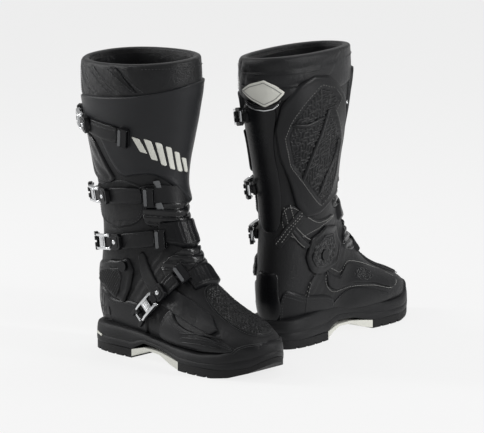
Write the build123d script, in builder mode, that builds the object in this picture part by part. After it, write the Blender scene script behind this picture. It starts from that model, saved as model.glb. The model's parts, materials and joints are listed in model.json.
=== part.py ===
"""A pair of tall off-road riding boots.

Each boot is modelled in its own frame, in millimetres: +X towards the toe, +Z up, the sole's plane
at Z = 0, the heel at X = 0, and the outer (buckle) side towards -Y. The right boot is modelled; the
left one is its mirror image. Both are then set down in the pair's frame.

The upper is one continuous body described by stations. Each station is a flat section through the
boot that holds the Y direction: it runs from a point on the front line (toe, instep, shin) to a
point on the back line (sole, heel, calf).
"""

import math
import os

from build123d import *

# ---------------------------------------------------------------- driving dimensions, millimetres
RIGHT_YAW = 0.0  # degrees, heading of each boot in the pair's frame
LEFT_YAW = 96.0
RIGHT_HEEL = (-142.71, -183.30)  # where each heel's back stands, from the centre of the pair's box
LEFT_HEEL = (45.49, -62.60)

# front x, front z, back x, back z, half width, squareness, narrowing towards the front line
STATIONS = [
    (313, 33, 310, 26, 7, 2.0, 0.00),
    (309, 48, 300, 22, 26, 2.2, 0.05),
    (296, 60, 282, 20, 39, 2.4, 0.12),
    (273, 71, 258, 20, 47, 2.4, 0.18),
    (244, 82, 228, 20, 50, 2.4, 0.24),
    (216, 97, 192, 20, 49, 2.4, 0.28),
    (194, 117, 150, 20, 46, 2.4, 0.28),
    (177, 139, 105, 20, 41, 2.4, 0.22),
    (164, 161, 60, 18, 40, 2.4, 0.15),
    (153, 183, 16, 24, 39, 2.3, 0.08),
    (145, 204, 1, 62, 41, 2.2, 0.03),
    (141, 226, 3, 110, 42, 2.2, 0.00),
    (140, 250, 8, 158, 43, 2.2, 0.00),
    (142, 276, 5, 206, 47, 2.2, 0.00),
    (148, 306, -4, 254, 53, 2.2, 0.00),
    (155, 340, -14, 306, 59, 2.2, 0.00),
    (160, 372, -20, 352, 61, 2.2, 0.00),
    (158, 420, -22, 416, 60, 2.2, 0.00),
]
SECTION_POINTS = 14  # points on each section's closed curve
TOE_STATION, TOP_STATION = 0.0, len(STATIONS) - 1.0
FOOT, LEG = (0.4, 12), (8, len(STATIONS) - 1)  # stations the foot's and the leg's layers run between
SOCK, FOOTBED = (0.8, 12), (1, 12)  # and the lining's foot and the footbed
TOE_WALL = 0.3  # in stations: the hollow of a foot layer starts this far behind its toe

LEATHER = 3.5  # thickness of the foot and shaft leather
LINING_OUT, LINING_IN = -4.2, -7.6  # the soft inner boot, as offsets from the outer surface
PLATE_GAP, PLATE = 0.6, 2.8  # moulded plates: clearance over the leather, and thickness
STRAP_GAP, STRAP = 5.4, 2.4  # buckle straps: clearance over the leather, and thickness
STRAP_HALF = 11.0  # half of a strap's width

SOLE_THICK = 12.0  # heel and forefoot tread blocks
GROOVE_WIDE, GROOVE_DEEP = 4.0, 3.0
SHANK_X, SHANK_Z, SHANK_LONG, SHANK_WIDE, SHANK_THICK = 52.0, 14.6, 68.0, 20.0, 1.6

PIVOT = (76.0, 126.0)  # x and z of the ankle's hinge axis, which runs along Y
BOLT_R, BOLT_HEAD_R, BOLT_CLEARANCE = 4.0, 7.5, 0.08
HINGE_PLATE_IN, HINGE_PLATE_THICK = 43.9, 1.8  # the hinge plate's flat inner face, from Y = 0

COLLAR_BASE = 350.0  # the padded collar stands on the shaft leather at this height
RIM_OUTER_SIDE, RIM_INNER_SIDE = 398.0, 413.0  # the rim's height on the outer and inner sides

# Where the foot ends and the shaft begins, as lines in the boot's side view
FOOT_EDGE = [
    (-60, 104), (0, 106), (50, 112), (60, 134), (68, 141), (84, 141), (92, 134), (100, 118), (120, 121), (186, 138),
]  # fmt: skip
SHAFT_EDGE = [(-60, 134), (5, 138), (76, 149), (110, 151), (152, 157), (240, 161)]
EDGE_GAP = 0.6
LINING_SEAM = 132.0  # the lining's foot and leg are sewn together at this height

# Buckles: pin x and z, strap's front end x and z, and where the strap's keeper stands
BUCKLES = {
    1: {"pin": (12, 321), "front": (84, 310)},
    2: {"pin": (38, 222), "front": (108, 226)},
    3: {"pin": (56, 158), "front": (124, 167)},
    4: {"pin": (137, 88), "front": (164, 118)},
}
PIN_R, PIN_UP, EYE_CLEARANCE = 1.6, 9.6, 0.06
BLOCK_BOTTOM, BLOCK_TOP = 5.8, 12.4
STRAP_STARTS = 24.4  # the strap butts against its end block this far in front of the pin
LUG_HALF, ARM_GAP, ARM_WIDE, ARM_R = 6.6, 0.4, 4.2, 3.4
LEVER_LONG = 42.0
CATCH_REACH = 22.0  # from the pin back to the catch plate's centre
KEEPER_GAP = 2.2  # between a strap's moving end and its keeper
KEEPER_LONG = 15.0

FAR = 200.0


# ---------------------------------------------------------------- the boot's outer surface
def station(u):
    """The seven values of a station at any u, eased between the listed ones."""
    last = len(STATIONS) - 1
    i = max(0, min(last - 1, int(u)))
    f = u - i
    rows = [STATIONS[max(0, min(last, k))] for k in (i - 1, i, i + 1, i + 2)]
    return [
        0.5 * (2 * b + (c - a) * f + (2 * a - 5 * b + 4 * c - d) * f**2 + (3 * b - a - 3 * c + d) * f**3)
        for a, b, c, d in zip(*rows)
    ]


def power(value, exponent):
    return math.copysign(abs(value) ** exponent, value)


def section_plane(u):
    fx, fz, bx, bz = station(u)[:4]
    long = math.hypot(fx - bx, fz - bz)
    dx, dz = (fx - bx) / long, (fz - bz) / long
    return Plane(origin=((fx + bx) / 2, 0, (fz + bz) / 2), x_dir=(dx, 0, dz), z_dir=(-dz, 0, dx))


def section_point(u, angle, offset):
    """A point of the section at station u, grown by offset, in the section's own plane."""
    fx, fz, bx, bz, wide, square, narrowing = station(u)
    along = power(math.cos(angle), 2 / square)
    across = power(math.sin(angle), 2 / square)
    half = math.hypot(fx - bx, fz - bz) / 2 + offset
    return (half * along, (wide + offset) * across * (1 - narrowing * along))


def section_points(u, offset):
    step = 2 * math.pi / SECTION_POINTS
    return [section_point(u, step * (k + 0.5), offset) for k in range(SECTION_POINTS)]


def body_loft(span, offset):
    """The boot's outer surface between two stations, grown by offset, as a solid."""
    first, last = span
    with BuildPart() as body:
        for u in (first, *range(int(first) + 1, last + 1)):
            with BuildSketch(section_plane(u)):
                with BuildLine():
                    Spline(*section_points(u, offset), periodic=True)
                make_face()
        loft()
    return body.part


def layer(span, inner, outer):
    """A hollow layer of the boot between two offsets of its outer surface."""
    solid = body_loft(span, outer)
    hollow = body_loft(span if span == LEG else (span[0] + TOE_WALL, span[1]), inner)
    with BuildPart() as shell:
        add(solid)
        add(hollow, mode=Mode.SUBTRACT)
    return shell.part


def side_prism(outline, side):
    """An outline in the boot's side view, pushed out to one side: -1 outer, 1 inner, 0 both."""
    with BuildPart() as prism:
        with BuildSketch(Plane.XZ):
            with BuildLine():
                Polyline(*outline, close=True)
            make_face()
        extrude(amount=FAR if side <= 0 else -FAR)
        if side == 0:
            mirror(about=Plane.XZ)
    return prism.part


def surface_point(u, angle):
    x, y = section_point(u, angle, 0.0)
    return section_plane(u).from_local_coords((x, y, 0))


def outer_side(x, z):
    """The station and the angle of the point of the outer side at x and z in the side view."""
    low, high = TOE_STATION, TOP_STATION
    for _ in range(40):
        u = (low + high) / 2
        fx, fz, bx, bz = station(u)[:4]
        if (fx - bx) * (z - bz) > (fz - bz) * (x - bx):
            low = u
        else:
            high = u
    fx, fz, bx, bz, _, square, _ = station(u)
    along = 2 * ((x - (fx + bx) / 2) * (fx - bx) + (z - (fz + bz) / 2) * (fz - bz)) / ((fx - bx) ** 2 + (fz - bz) ** 2)
    return u, -math.acos(power(max(-1.0, min(1.0, along)), square / 2))


def surface_plane(x, z, heading):
    """A plane on the outer side of the boot at x and z in the side view: its x axis runs along the
    surface with the given side-view heading, and its z axis points out of the surface."""
    u, angle = outer_side(x, z)
    origin = surface_point(u, angle)
    up = surface_point(u + 0.05, angle) - surface_point(u - 0.05, angle)
    around = surface_point(u, angle + 0.05) - surface_point(u, angle - 0.05)
    normal = up.cross(around).normalized()
    if normal.Y > 0:
        normal = normal * -1
    level = (heading[0] * normal.X + heading[1] * normal.Z) / -normal.Y
    return Plane(origin=origin, x_dir=Vector(heading[0], level, heading[1]).normalized(), z_dir=normal)


# ---------------------------------------------------------------- sole
SOLE_PLAN = [
    (0, 0), (11, -32), (42, -44), (105, -46), (162, -51), (218, -59), (268, -52), (302, -29),
    (317, 2), (300, 34), (262, 54), (215, 55), (160, 45), (100, 42), (42, 42), (11, 31),
]  # fmt: skip
HEEL_BLOCK = [(-5, SOLE_THICK), (-5, 9), (0, 5), (8, 0), (92, 0), (92, SOLE_THICK)]
TOE_BLOCK = [
    (190, SOLE_THICK), (190, 0), (252, 0), (276, 3), (298, 10), (314, 20), (325, 30),
    (325, 35), (300, 18), (276, 13), (252, SOLE_THICK),
]  # fmt: skip
ARCH = [
    (92, 2), (104, 9), (120, 15), (148, 14), (172, 5), (190, 1),
    (190, SOLE_THICK), (170, 15), (146, 18), (116, 18), (92, SOLE_THICK),
]  # fmt: skip
RAND = [
    (-5, SOLE_THICK), (92, SOLE_THICK), (116, 18), (146, 18), (170, 15), (190, SOLE_THICK),
    (252, SOLE_THICK), (276, 13), (300, 18), (325, 35),
    (325, 52), (300, 48), (280, 40), (262, 33), (230, 29), (175, 30), (110, 38), (60, 40), (-5, 38),
]  # fmt: skip


def sole_slice(outline):
    """The sole's plan pushed up, cut to an outline in the side view."""
    side_view = side_prism(outline, 0)
    with BuildPart() as piece:
        with BuildSketch():
            with BuildLine():
                Spline(*SOLE_PLAN, periodic=True)
            make_face()
        extrude(amount=FAR)
        add(side_view, mode=Mode.INTERSECT)
    return piece.part


def make_outsole():
    """Rubber tread: a heel block and a forefoot block, each with grooves across it."""
    heel, forefoot = sole_slice(HEEL_BLOCK), sole_slice(TOE_BLOCK)
    with BuildPart() as outsole:
        add(heel)
        add(forefoot)
        with Locations(*[(x, 0, 0) for x in (24, 42, 60, 78, 208, 226, 244)]):
            Box(GROOVE_WIDE, FAR, 2 * GROOVE_DEEP, mode=Mode.SUBTRACT)
    return outsole.part


def make_rand():
    """The moulded cup that holds the foot above the tread and rises into a toe bumper."""
    foot = body_loft(FOOT, 0.25)
    rand = sole_slice(RAND)
    with BuildPart() as cup:
        add(rand)
        add(foot, mode=Mode.SUBTRACT)
        with BuildSketch(Plane.XY.offset(SHANK_Z - 0.2)):
            with Locations((SHANK_X, 0)):
                SlotOverall(SHANK_LONG + 0.4, SHANK_WIDE + 0.4)
        extrude(amount=SHANK_THICK + 0.4, mode=Mode.SUBTRACT)
    return cup.part.solids().sort_by(SortBy.VOLUME)[-1]


def make_shank():
    """A spring-steel strip under the footbed, from heel to ball."""
    with BuildPart() as shank:
        with BuildSketch(Plane.XY.offset(SHANK_Z)):
            with Locations((SHANK_X, 0)):
                SlotOverall(SHANK_LONG, SHANK_WIDE)
        extrude(amount=SHANK_THICK)
    return shank.part


def make_footbed():
    """The removable inner sole, resting on the lining's floor."""
    inside = body_loft(FOOTBED, LINING_IN - 0.6)
    slab = side_prism([(18, 20), (18, 36), (60, 34), (120, 31), (290, 33), (290, 20)], 0)
    with BuildPart() as footbed:
        add(inside)
        add(slab, mode=Mode.INTERSECT)
    return footbed.part.solids().sort_by(SortBy.VOLUME)[-1]


# ---------------------------------------------------------------- foot, shaft and lining
def make_foot_upper():
    """The leather foot, from the toe up to the ankle's gusset."""
    leather = layer(FOOT, -LEATHER, 0.0)
    below = side_prism([(-60, -5), *FOOT_EDGE, (340, 138), (340, -5)], 0)
    with BuildPart() as upper:
        add(leather)
        add(below, mode=Mode.INTERSECT)
    return upper.part.solids().sort_by(SortBy.VOLUME)[-1]


def make_ankle_gusset():
    """The soft folded leather that joins foot and shaft round the ankle."""
    leather = layer(FOOT, -LEATHER, -0.6)
    low = [(x, z + EDGE_GAP) for x, z in FOOT_EDGE]
    high = [(x, z - EDGE_GAP) for x, z in reversed(SHAFT_EDGE)]
    between = side_prism([*low, (240, 150), *high], 0)
    with BuildPart() as gusset:
        add(leather)
        add(between, mode=Mode.INTERSECT)
    return gusset.part.solids().sort_by(SortBy.VOLUME)[-1]


def make_shaft_upper():
    """The leather leg tube, from the ankle's gusset up to the collar."""
    leather = layer(LEG, -LEATHER, 0.0)
    above = side_prism([*SHAFT_EDGE, (240, COLLAR_BASE), (-60, COLLAR_BASE)], 0)
    with BuildPart() as shaft:
        add(leather)
        add(above, mode=Mode.INTERSECT)
    return shaft.part.solids().sort_by(SortBy.VOLUME)[-1]


def make_collar():
    """The padded top edge, lower on the outer side."""
    ring = layer(LEG, -10.5, -0.4)
    slope = (RIM_INNER_SIDE - RIM_OUTER_SIDE) / 120
    low, high = RIM_OUTER_SIDE - slope * 40, RIM_INNER_SIDE + slope * 40
    with BuildPart() as band:
        with BuildSketch(Plane.YZ):
            with BuildLine():
                Polyline((-100, COLLAR_BASE + EDGE_GAP), (100, COLLAR_BASE + EDGE_GAP), (100, high), (-100, low),
                         close=True)
            make_face()
        extrude(amount=FAR, both=True)
    with BuildPart() as collar:
        add(ring)
        add(band.part, mode=Mode.INTERSECT)
    return collar.part.solids().sort_by(SortBy.VOLUME)[-1]


def make_lining():
    """The soft inner boot: one sock from the toe to just under the collar."""
    foot, leg = layer(SOCK, LINING_IN, LINING_OUT), layer(LEG, LINING_IN, LINING_OUT)
    low = side_prism([(-60, -5), (-60, LINING_SEAM), (340, LINING_SEAM), (340, -5)], 0)
    top = COLLAR_BASE - EDGE_GAP
    high = side_prism([(-60, LINING_SEAM), (-60, top), (340, top), (340, LINING_SEAM)], 0)
    with BuildPart() as sock:
        add(foot)
        add(low, mode=Mode.INTERSECT)
    with BuildPart() as tube:
        add(leg)
        add(high, mode=Mode.INTERSECT)
    with BuildPart() as lining:
        add(sock.part)
        add(tube.part)
    return lining.part.solids().sort_by(SortBy.VOLUME)[-1]


# ---------------------------------------------------------------- plates on the outside
def plate(span, outline, side, inner=PLATE_GAP, thick=PLATE):
    """A moulded plate that lies on one side of the boot, or on both, within an outline."""
    skin = layer(span, inner, inner + thick)
    cutter = side_prism(outline, side)
    with BuildPart() as piece:
        add(skin)
        add(cutter, mode=Mode.INTERSECT)
    return piece.part.solids().sort_by(SortBy.VOLUME)[-1]


SHIN_PLATE_OUTER = [
    (-40, 354), (-40, 300), (-12, 294), (10, 264), (40, 250), (80, 247), (120, 256), (140, 246), (155, 230),
    (200, 226), (200, 386), (150, 380), (60, 368),
]  # fmt: skip
SHIN_PLATE_INNER = [(126, 386), (126, 240), (138, 226), (200, 226), (200, 386)]
BURN_GUARD = [
    (-14, 350), (-12, 300), (-2, 250), (8, 222), (38, 186), (60, 178), (92, 190), (112, 222), (121, 300),
    (121, 382), (70, 380), (20, 362),
]  # fmt: skip


def make_shin_plate():
    outer, inner = plate(LEG, SHIN_PLATE_OUTER, -1), plate(LEG, SHIN_PLATE_INNER, 1)
    with BuildPart() as shin_plate:
        add(outer)
        add(inner)
    return shin_plate.part


def make_burn_guard():
    return plate(LEG, BURN_GUARD, 1)


def make_heel_cup():
    """The stiff counter round the heel, above the rand."""
    return plate(FOOT, [(-40, 44), (44, 46), (46, 70), (30, 102), (-40, 102)], 0)


def make_toe_pad():
    """The textured pad on top of the toes, where the gear lever rubs."""
    return plate(FOOT, [(192, 84), (280, 54), (320, 90), (200, 140), (186, 112)], 0)


def make_ankle_plates():
    """The two hinge plates, screwed to the shaft and turning on the ankle bolts."""
    x, z = PIVOT
    with BuildPart() as plates:
        with BuildSketch(Plane.XZ.offset(HINGE_PLATE_IN)):
            with BuildLine():
                Polyline((x - 20, z - 20), (x + 8, z - 24), (x + 22, z - 10), (x + 16, z + 14), (x + 5, z + 34),
                         (x - 8, z + 34), (x - 20, z + 16), close=True)
            make_face()
            with Locations((x, z)):
                Circle(BOLT_R + BOLT_CLEARANCE, mode=Mode.SUBTRACT)
        extrude(amount=HINGE_PLATE_THICK)
        mirror(about=Plane.XZ)
    return plates.part


def make_ankle_bolts():
    """The two bolts that the hinge plates turn on, fixed in the foot."""
    x, z = PIVOT
    head = HINGE_PLATE_IN + HINGE_PLATE_THICK + 0.4
    with BuildPart() as bolts:
        with BuildSketch(Plane.XZ.offset(HINGE_PLATE_IN - 1.2)):
            with Locations((x, z)):
                Circle(BOLT_R)
        extrude(amount=head - HINGE_PLATE_IN + 1.7)
        with BuildSketch(Plane.XZ.offset(head)):
            with Locations((x, z)):
                Circle(BOLT_HEAD_R)
        extrude(amount=2.4)
        mirror(about=Plane.XZ)
    return bolts.part


# ---------------------------------------------------------------- buckles
def band_outline(start, end, half):
    """A straight strip in the side view, from start to end."""
    dx, dz = end[0] - start[0], end[1] - start[1]
    long = math.hypot(dx, dz)
    nx, nz = -dz / long * half, dx / long * half
    return [
        (start[0] + nx, start[1] + nz), (end[0] + nx, end[1] + nz),
        (end[0] - nx, end[1] - nz), (start[0] - nx, start[1] - nz),
    ]  # fmt: skip


def towards(start, end, distance):
    """The point that lies a distance past start on the way to end."""
    dx, dz = end[0] - start[0], end[1] - start[1]
    long = math.hypot(dx, dz)
    return (start[0] + dx / long * distance, start[1] + dz / long * distance)


def buckle_plane(number):
    """On the surface under the buckle's pin, its x axis pointing back along the strap."""
    pin, front = BUCKLES[number]["pin"], BUCKLES[number]["front"]
    return surface_plane(*pin, (pin[0] - front[0], pin[1] - front[1]))


def make_strap(number):
    """The moulded strap, from its keeper back to the end block."""
    pin, front = BUCKLES[number]["pin"], BUCKLES[number]["front"]
    outline = band_outline(front, towards(pin, front, STRAP_STARTS), STRAP_HALF)
    return plate(FOOT if number == 4 else LEG, outline, -1, STRAP_GAP, STRAP)


def make_strap_end(number):
    """The block on the strap's end, with the pin that its lever turns on."""
    plane = buckle_plane(number)
    with BuildPart(plane) as block:
        with BuildSketch(plane.offset(BLOCK_BOTTOM)):
            with Locations((-14, 0)):
                RectangleRounded(19, 2 * STRAP_HALF, 3)
            with Locations((-2.5, 0)):
                Rectangle(11.6, 2 * LUG_HALF)
        extrude(amount=BLOCK_TOP - BLOCK_BOTTOM)
        with Locations((0, 0, PIN_UP)):
            Cylinder(PIN_R, 2 * (LUG_HALF + ARM_GAP + ARM_WIDE), rotation=(90, 0, 0))
        with Locations((-14, 0, BLOCK_TOP)):
            Cylinder(3.2, 1.6)
    return block.part


def make_lever(number):
    """The lever: two arms that turn on the block's pin, joined by a bridge and a finger bar."""
    middle = LUG_HALF + ARM_GAP + ARM_WIDE / 2
    with BuildPart(buckle_plane(number)) as lever:
        with Locations((LEVER_LONG / 2, middle, PIN_UP), (LEVER_LONG / 2, -middle, PIN_UP)):
            Box(LEVER_LONG, ARM_WIDE, 2 * ARM_R)
        with Locations((0, middle, PIN_UP), (0, -middle, PIN_UP)):
            Cylinder(ARM_R, ARM_WIDE, rotation=(90, 0, 0))
        with Locations((15, 0, PIN_UP + 0.6), (LEVER_LONG - 4, 0, PIN_UP + 0.6)):
            Box(7, 2 * (LUG_HALF + ARM_GAP + ARM_WIDE), 2 * ARM_R - 1.2)
        with Locations((0, 0, PIN_UP)):
            Cylinder(PIN_R + EYE_CLEARANCE, FAR, rotation=(90, 0, 0), mode=Mode.SUBTRACT)
    return lever.part


def make_mounts(numbers):
    """The toothed catch plates under the levers and the keepers the straps' tails run into."""
    under_levers, over_tails = [], []
    for number in numbers:
        pin, front = BUCKLES[number]["pin"], BUCKLES[number]["front"]
        heading = (pin[0] - front[0], pin[1] - front[1])
        under_levers.append(surface_plane(*towards(pin, front, -CATCH_REACH), heading))
        over_tails.append(surface_plane(*towards(front, pin, -KEEPER_GAP - KEEPER_LONG / 2), heading))
    with BuildPart(*under_levers) as catches:
        with Locations((0, 0, PLATE_GAP + PLATE + 1.8)):
            Box(18, 11, 2.6)
    with BuildPart(*over_tails) as keepers:
        with Locations((0, 0, STRAP_GAP + 2.4)):
            Box(KEEPER_LONG, 2 * STRAP_HALF + 5, 5.6)
    with BuildPart() as mounts:
        add(catches.part)
        add(keepers.part)
    return mounts.part


# ---------------------------------------------------------------- the pair
def export_pair(name, right_piece):
    """Sets a piece down in each boot, mirrored for the left one, and writes both."""
    left_piece = mirror(right_piece, about=Plane.XZ)
    for side, piece, heel, yaw in (
        ("right", right_piece, RIGHT_HEEL, RIGHT_YAW),
        ("left", left_piece, LEFT_HEEL, LEFT_YAW),
    ):
        with BuildPart() as placed:
            with Locations(Location((*heel, 0), (0, 0, yaw))):
                add(piece)
        placed.part.label = f"{side}_{name}"
        export_step(placed.part, f"parts/{side}_{name}.step")


def make_boot():
    """Every piece of the right boot, by name."""
    boot = {
        "outsole": make_outsole(),
        "arch_insert": sole_slice(ARCH),
        "rand": make_rand(),
        "shank": make_shank(),
        "footbed": make_footbed(),
        "foot_upper": make_foot_upper(),
        "ankle_gusset": make_ankle_gusset(),
        "shaft_upper": make_shaft_upper(),
        "collar": make_collar(),
        "lining": make_lining(),
        "shin_plate": make_shin_plate(),
        "burn_guard": make_burn_guard(),
        "heel_cup": make_heel_cup(),
        "toe_pad": make_toe_pad(),
        "ankle_plates": make_ankle_plates(),
        "ankle_bolts": make_ankle_bolts(),
        "calf_mounts": make_mounts((1, 2, 3)),
        "foot_mounts": make_mounts((4,)),
    }
    for number in BUCKLES:
        boot[f"strap_{number}"] = make_strap(number)
        boot[f"strap_end_{number}"] = make_strap_end(number)
        boot[f"lever_{number}"] = make_lever(number)
    return boot


def main():
    os.makedirs("parts", exist_ok=True)
    for name, piece in make_boot().items():
        export_pair(name, piece)


main()
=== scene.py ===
"""A pair of tall off-road riding boots.

Everything is laid on the boot's outer surface, the same one the CAD pieces are made from. A place
on it is (u, a): u counts stations from the toe (0) to the collar (17), and a is the angle round
the section in degrees, 0 on the front line, 180 on the back line, negative on the outer side.
Sizes are millimetres in the right boot's own frame; the left boot is its mirror image.
"""

import json
import math

import bmesh
import bpy
import numpy as np
from mathutils import Matrix, Vector, geometry


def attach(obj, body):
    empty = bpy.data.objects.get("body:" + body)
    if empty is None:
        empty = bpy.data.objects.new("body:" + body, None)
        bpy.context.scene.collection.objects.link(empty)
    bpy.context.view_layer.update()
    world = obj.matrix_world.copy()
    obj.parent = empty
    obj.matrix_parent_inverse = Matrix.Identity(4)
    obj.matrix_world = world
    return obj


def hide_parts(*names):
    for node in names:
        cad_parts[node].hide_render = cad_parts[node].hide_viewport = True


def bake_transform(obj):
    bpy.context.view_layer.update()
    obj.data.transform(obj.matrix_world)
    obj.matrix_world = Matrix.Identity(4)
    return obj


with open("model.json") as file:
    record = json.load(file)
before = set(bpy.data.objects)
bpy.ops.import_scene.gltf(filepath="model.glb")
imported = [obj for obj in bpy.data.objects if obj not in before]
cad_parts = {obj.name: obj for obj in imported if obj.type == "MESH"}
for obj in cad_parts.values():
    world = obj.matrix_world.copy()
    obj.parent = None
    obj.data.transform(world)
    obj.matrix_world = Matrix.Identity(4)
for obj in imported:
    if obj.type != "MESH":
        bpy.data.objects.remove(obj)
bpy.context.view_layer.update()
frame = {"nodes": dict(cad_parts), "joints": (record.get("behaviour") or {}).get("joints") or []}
MM = 0.001

# ---------------------------------------------------------------- the boot's outer surface
# front x, front z, back x, back z, half width, squareness, narrowing towards the front line
STATIONS = np.array([
    (313, 33, 310, 26, 7, 2.0, 0.00),
    (309, 48, 300, 22, 26, 2.2, 0.05),
    (296, 60, 282, 20, 39, 2.4, 0.12),
    (273, 71, 258, 20, 47, 2.4, 0.18),
    (244, 82, 228, 20, 50, 2.4, 0.24),
    (216, 97, 192, 20, 49, 2.4, 0.28),
    (194, 117, 150, 20, 46, 2.4, 0.28),
    (177, 139, 105, 20, 41, 2.4, 0.22),
    (164, 161, 60, 18, 40, 2.4, 0.15),
    (153, 183, 16, 24, 39, 2.3, 0.08),
    (145, 204, 1, 62, 41, 2.2, 0.03),
    (141, 226, 3, 110, 42, 2.2, 0.00),
    (140, 250, 8, 158, 43, 2.2, 0.00),
    (142, 276, 5, 206, 47, 2.2, 0.00),
    (148, 306, -4, 254, 53, 2.2, 0.00),
    (155, 340, -14, 306, 59, 2.2, 0.00),
    (160, 372, -20, 352, 61, 2.2, 0.00),
    (158, 420, -22, 416, 60, 2.2, 0.00),
])  # fmt: skip
TOP = len(STATIONS) - 1
PIVOT = (76.0, 0.0, 126.0)
UNROLL = 50.0  # a patch is laid out flat with the angle measured along a circle of this radius


def eased(a, b, c, d, f):
    """A smooth curve's point at the share f of the way from b to c, with a and d beyond them."""
    return 0.5 * (2 * b + (c - a) * f + (2 * a - 5 * b + 4 * c - d) * f**2 + (3 * b - a - 3 * c + d) * f**3)


def eased_stations(steps=50):
    """The stations eased between the listed ones, as a table over u."""
    table = []
    for k in range(TOP * steps + 1):
        u = k / steps
        i = min(TOP - 1, int(u))
        table.append(eased(*(STATIONS[max(0, min(TOP, i + k))] for k in (-1, 0, 1, 2)), u - i))
    return np.linspace(0, TOP, TOP * steps + 1), np.array(table)


U_TABLE, TABLE = eased_stations()
MIDDLE = (TABLE[:, :2] + TABLE[:, 2:4]) / 2
ARC = np.concatenate([[0], np.cumsum(np.linalg.norm(np.diff(MIDDLE, axis=0), axis=1))])


def shell(u, a, off=0.0):
    """Points of the surface at stations u and angles a, in degrees, lifted off it by off."""
    u, a = np.asarray(u, float), np.radians(np.asarray(a, float))
    fx, fz, bx, bz, wide, square, narrowing = (np.interp(u, U_TABLE, TABLE[:, k]) for k in range(7))
    long = np.hypot(fx - bx, fz - bz)
    along = np.sign(np.cos(a)) * np.abs(np.cos(a)) ** (2 / square)
    across = np.sign(np.sin(a)) * np.abs(np.sin(a)) ** (2 / square)
    half = long / 2 + off
    x = (fx + bx) / 2 + half * along * (fx - bx) / long
    z = (fz + bz) / 2 + half * along * (fz - bz) / long
    return np.stack([x, (wide + off) * across * (1 - narrowing * along), z], -1)


def leg(*places):
    """(height, angle) places on the leg, as (u, a)."""
    grid = np.linspace(7.5, TOP, 500)
    return [(float(np.interp(z, shell(grid, a)[:, 2], grid)), a) for z, a in places]


def outer(*places, side=-1):
    """(x, z) places in the side view, as (u, a) on the outer side, or the inner with side=1."""
    found = []
    for x, z in places:
        u, a = np.meshgrid(np.linspace(0, TOP, 341), np.linspace(1, 179, 179))
        p = shell(u, a)
        k = np.argmin((p[..., 0] - x) ** 2 + (p[..., 2] - z) ** 2)
        found.append((float(u.flat[k]), side * float(a.flat[k])))
    return found


def flat(places):
    places = np.asarray(places, float)
    return np.stack([np.radians(places[:, 1]) * UNROLL, np.interp(places[:, 0], U_TABLE, ARC)], -1)


def unflat(points):
    return np.interp(points[:, 1], ARC, U_TABLE), np.degrees(points[:, 0] / UNROLL)


# ---------------------------------------------------------------- materials
def node(tree, kind, **values):
    made = tree.nodes.new(kind)
    for key, value in values.items():
        if key[0].isupper():
            made.inputs[key.replace("_", " ")].default_value = value
        else:
            setattr(made, key, value)
    return made


def math_node(tree, operation, first, second=0.0):
    made = node(tree, "ShaderNodeMath", operation=operation)
    for socket, value in zip(made.inputs, (first, second)):
        if isinstance(value, (int, float)):
            socket.default_value = value
        else:
            tree.links.new(value, socket)
    return made.outputs[0]


def weave_height(tree, uv, scale):
    """Crossing threads."""
    link = tree.links.new
    waves = []
    for direction in ("X", "Y"):
        wave = node(tree, "ShaderNodeTexWave", wave_type="BANDS", bands_direction=direction, Scale=scale)
        wave.inputs["Distortion"].default_value = 0.6
        link(uv, wave.inputs["Vector"])
        waves.append(wave.outputs["Fac"])
    return math_node(tree, "MULTIPLY", waves[0], waves[1])


def material(name, colour, rough, grain=900.0, deep=0.25, wrinkle=0.0, pattern=None, scale=300.0,
             pattern_deep=0.6, metallic=0.0, sheen=0.0, coat=0.0, vary=0.35, specular=0.2, glow=0.0):
    """A surface with its own grain and uneven colour and gloss."""
    made = bpy.data.materials.new(name)
    made.use_nodes = True
    tree = made.node_tree
    link = tree.links.new
    shader = tree.nodes["Principled BSDF"]
    for socket, value in (("Metallic", metallic), ("Specular IOR Level", specular),
                          ("Emission Color", (1, 1, 1, 1)), ("Emission Strength", glow),
                          ("Sheen Weight", sheen), ("Sheen Roughness", 0.4), ("Coat Weight", coat),
                          ("Coat Roughness", 0.22)):
        shader.inputs[socket].default_value = value
    where = node(tree, "ShaderNodeTexCoord")

    broad = node(tree, "ShaderNodeTexNoise", Scale=22.0, Detail=4.0)
    fine = node(tree, "ShaderNodeTexNoise", Scale=grain * 0.6, Detail=3.0)
    cells = node(tree, "ShaderNodeTexVoronoi", Scale=grain)
    for texture in (broad, fine, cells):
        link(where.outputs["Object"], texture.inputs["Vector"])

    ramp = node(tree, "ShaderNodeValToRGB")
    low, high = ramp.color_ramp.elements
    low.position, high.position = 0.3, 0.72
    low.color = (*[c * (1 - vary) for c in colour], 1)
    high.color = (*[min(1, c * (1 + vary)) for c in colour], 1)
    mixed = math_node(tree, "ADD", math_node(tree, "MULTIPLY", broad.outputs["Fac"], 0.72),
                      math_node(tree, "MULTIPLY", fine.outputs["Fac"], 0.28))
    link(mixed, ramp.inputs["Fac"])
    link(ramp.outputs["Color"], shader.inputs["Base Color"])

    gloss = node(tree, "ShaderNodeMapRange")
    gloss.inputs["To Min"].default_value = rough * 0.82
    gloss.inputs["To Max"].default_value = min(1, rough * 1.2)
    link(mixed, gloss.inputs["Value"])
    link(gloss.outputs[0], shader.inputs["Roughness"])

    height = math_node(tree, "MULTIPLY", cells.outputs["Distance"], deep)
    if wrinkle:
        crease = node(tree, "ShaderNodeTexNoise", Scale=75.0, Detail=5.0, Distortion=1.4)
        link(where.outputs["Object"], crease.inputs["Vector"])
        height = math_node(tree, "ADD", height, math_node(tree, "MULTIPLY", crease.outputs["Fac"], wrinkle))
    if pattern:
        raised = pattern(tree, where.outputs["UV"], scale)
        height = math_node(tree, "ADD", height, math_node(tree, "MULTIPLY", raised, pattern_deep))
    bump = node(tree, "ShaderNodeBump", Strength=1.0, Distance=0.001)
    link(height, bump.inputs["Height"])
    link(bump.outputs["Normal"], shader.inputs["Normal"])
    return made


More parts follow.
